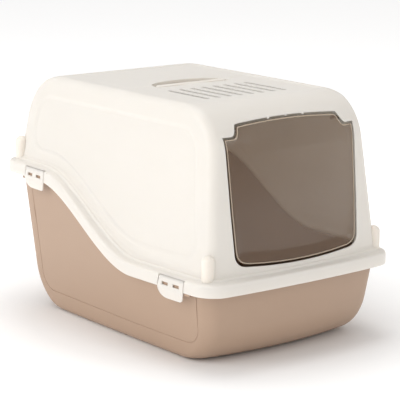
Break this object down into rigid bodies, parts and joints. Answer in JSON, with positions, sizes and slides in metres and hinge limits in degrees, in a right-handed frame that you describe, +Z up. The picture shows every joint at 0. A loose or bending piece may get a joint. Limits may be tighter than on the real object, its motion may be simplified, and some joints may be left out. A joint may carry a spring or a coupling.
{
  "type": "hooded cat litter box",
  "caption": "Deep litter tray with an S-curved rim under a lift-off vented hood with a see-through swing door, side latches, a pull-up handle and a filter holder.",
  "frame": {"origin": "on the floor under the centre of the plan", "axes": "+X to the right seen from the door, door faces -Y, +Z up"},
  "size_m": [0.404, 0.578, 0.3985],
  "materials": {
    "tray_taupe": "moulded polypropylene, fine satin grain",
    "hood_cream": "moulded polypropylene, soft satin sheen",
    "smoked_flap": "clear brown-tinted moulded sheet, polished",
    "pin_cream": "moulded pin, smooth",
    "carbon_felt": "non-woven activated carbon felt"
  },
  "bodies": {
    "tray_body": {"tray": "tray_taupe"},
    "hood_body": {"hood": "hood_cream", "door_pin_left": "pin_cream", "door_pin_right": "pin_cream", "latch_pin_front_left": "pin_cream", "latch_pin_rear_left": "pin_cream", "latch_pin_front_right": "pin_cream", "latch_pin_rear_right": "pin_cream"},
    "door_body": {"door_flap": "smoked_flap"},
    "handle_body": {"handle": "hood_cream"},
    "filter_body": {"filter_holder": "hood_cream", "filter_pad": "carbon_felt"},
    "latch_body_front_left": {"latch_front_left": "hood_cream"},
    "latch_body_rear_left": {"latch_rear_left": "hood_cream"},
    "latch_body_front_right": {"latch_front_right": "hood_cream"},
    "latch_body_rear_right": {"latch_rear_right": "hood_cream"}
  },
  "joints": [
    {"name": "hood_lift", "type": "slide", "parent": "tray_body", "child": "hood_body", "axis": [0, 0, 1], "range_m": [0, 0.25]},
    {"name": "door_swing", "type": "hinge", "parent": "hood_body", "child": "door_body", "pos_m": [0, -0.226, 0.3615], "axis": [1, 0, 0], "range_deg": [-65, 60]},
    {"name": "handle_pull", "type": "slide", "parent": "hood_body", "child": "handle_body", "axis": [0, 0, 1], "range_m": [0, 0.016]},
    {"name": "filter_drop", "type": "hinge", "parent": "hood_body", "child": "filter_body", "pos_m": [0, -0.146, 0.39], "axis": [-1, 0, 0], "range_deg": [0, 50]},
    {"name": "latch_swing_front_left", "type": "hinge", "parent": "hood_body", "child": "latch_body_front_left", "pos_m": [-0.19522, -0.1929, 0.1373], "axis": [-0.0475, 0.9989, 0], "range_deg": [0, 90]},
    {"name": "latch_swing_rear_left", "type": "hinge", "parent": "hood_body", "child": "latch_body_rear_left", "pos_m": [-0.19572, 0.1819, 0.2458], "axis": [0.0448, 0.999, 0], "range_deg": [0, 90]},
    {"name": "latch_swing_front_right", "type": "hinge", "parent": "hood_body", "child": "latch_body_front_right", "pos_m": [0.19522, -0.1929, 0.1373], "axis": [-0.0475, -0.9989, 0], "range_deg": [0, 90]},
    {"name": "latch_swing_rear_right", "type": "hinge", "parent": "hood_body", "child": "latch_body_rear_right", "pos_m": [0.19572, 0.1819, 0.2458], "axis": [0.0448, -0.999, 0], "range_deg": [0, 90]}
  ]
}
